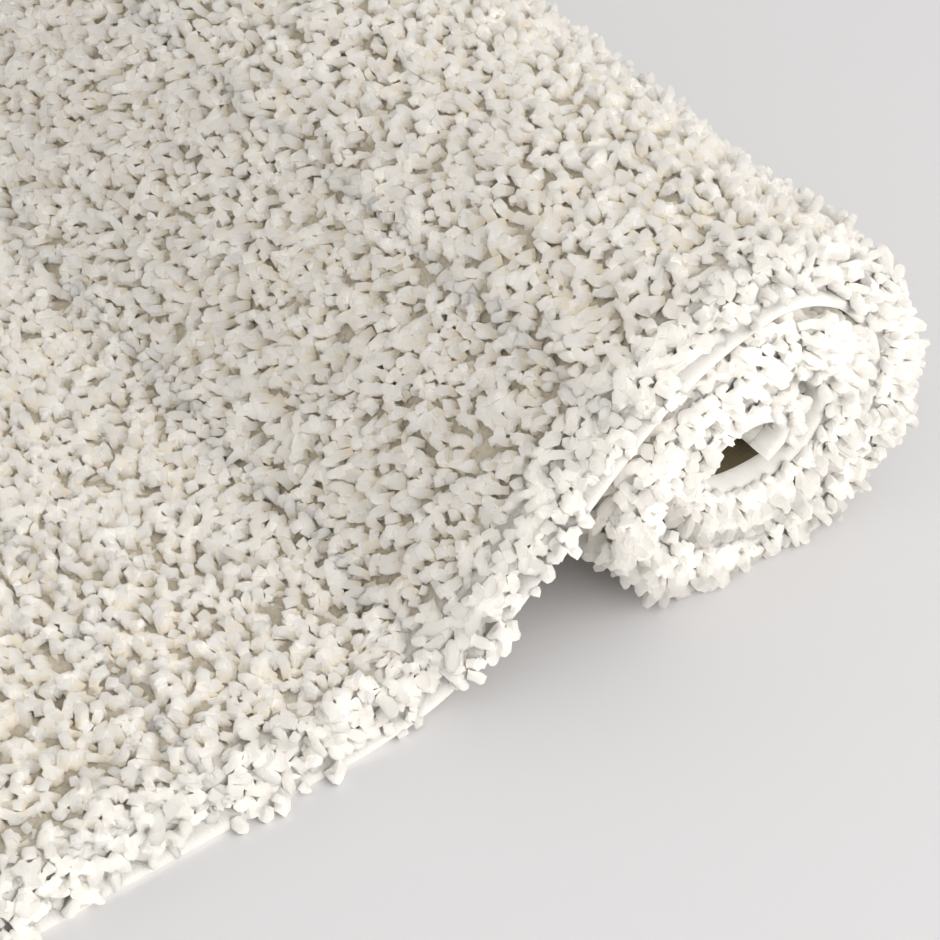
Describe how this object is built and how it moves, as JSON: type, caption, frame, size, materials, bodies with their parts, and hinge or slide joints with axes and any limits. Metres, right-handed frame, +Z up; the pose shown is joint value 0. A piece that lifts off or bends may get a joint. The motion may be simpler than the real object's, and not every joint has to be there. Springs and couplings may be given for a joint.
{
  "type": "shag rug",
  "caption": "Small cream shag rug, flat on the floor at its free end and rolled up at the other with its pile outwards, its edges bound.",
  "frame": {"origin": "on the floor, under the middle of the rug's box", "axes": "+X along the roll, +Y along the rug from its free end towards the roll, +Z up"},
  "size_m": [0.631, 0.5131, 0.1331],
  "materials": {
    "pile": "deep soft matte yarn pile, cream",
    "backing": "woven matte backing, brown",
    "binding": "overcast edge of close matte yarn, off-white"
  },
  "bodies": {
    "root": {"pile": "pile", "backing": "backing", "binding_right": "binding", "binding_left": "binding", "binding_free_end": "binding", "binding_inner_end": "binding"}
  },
  "joints": []
}
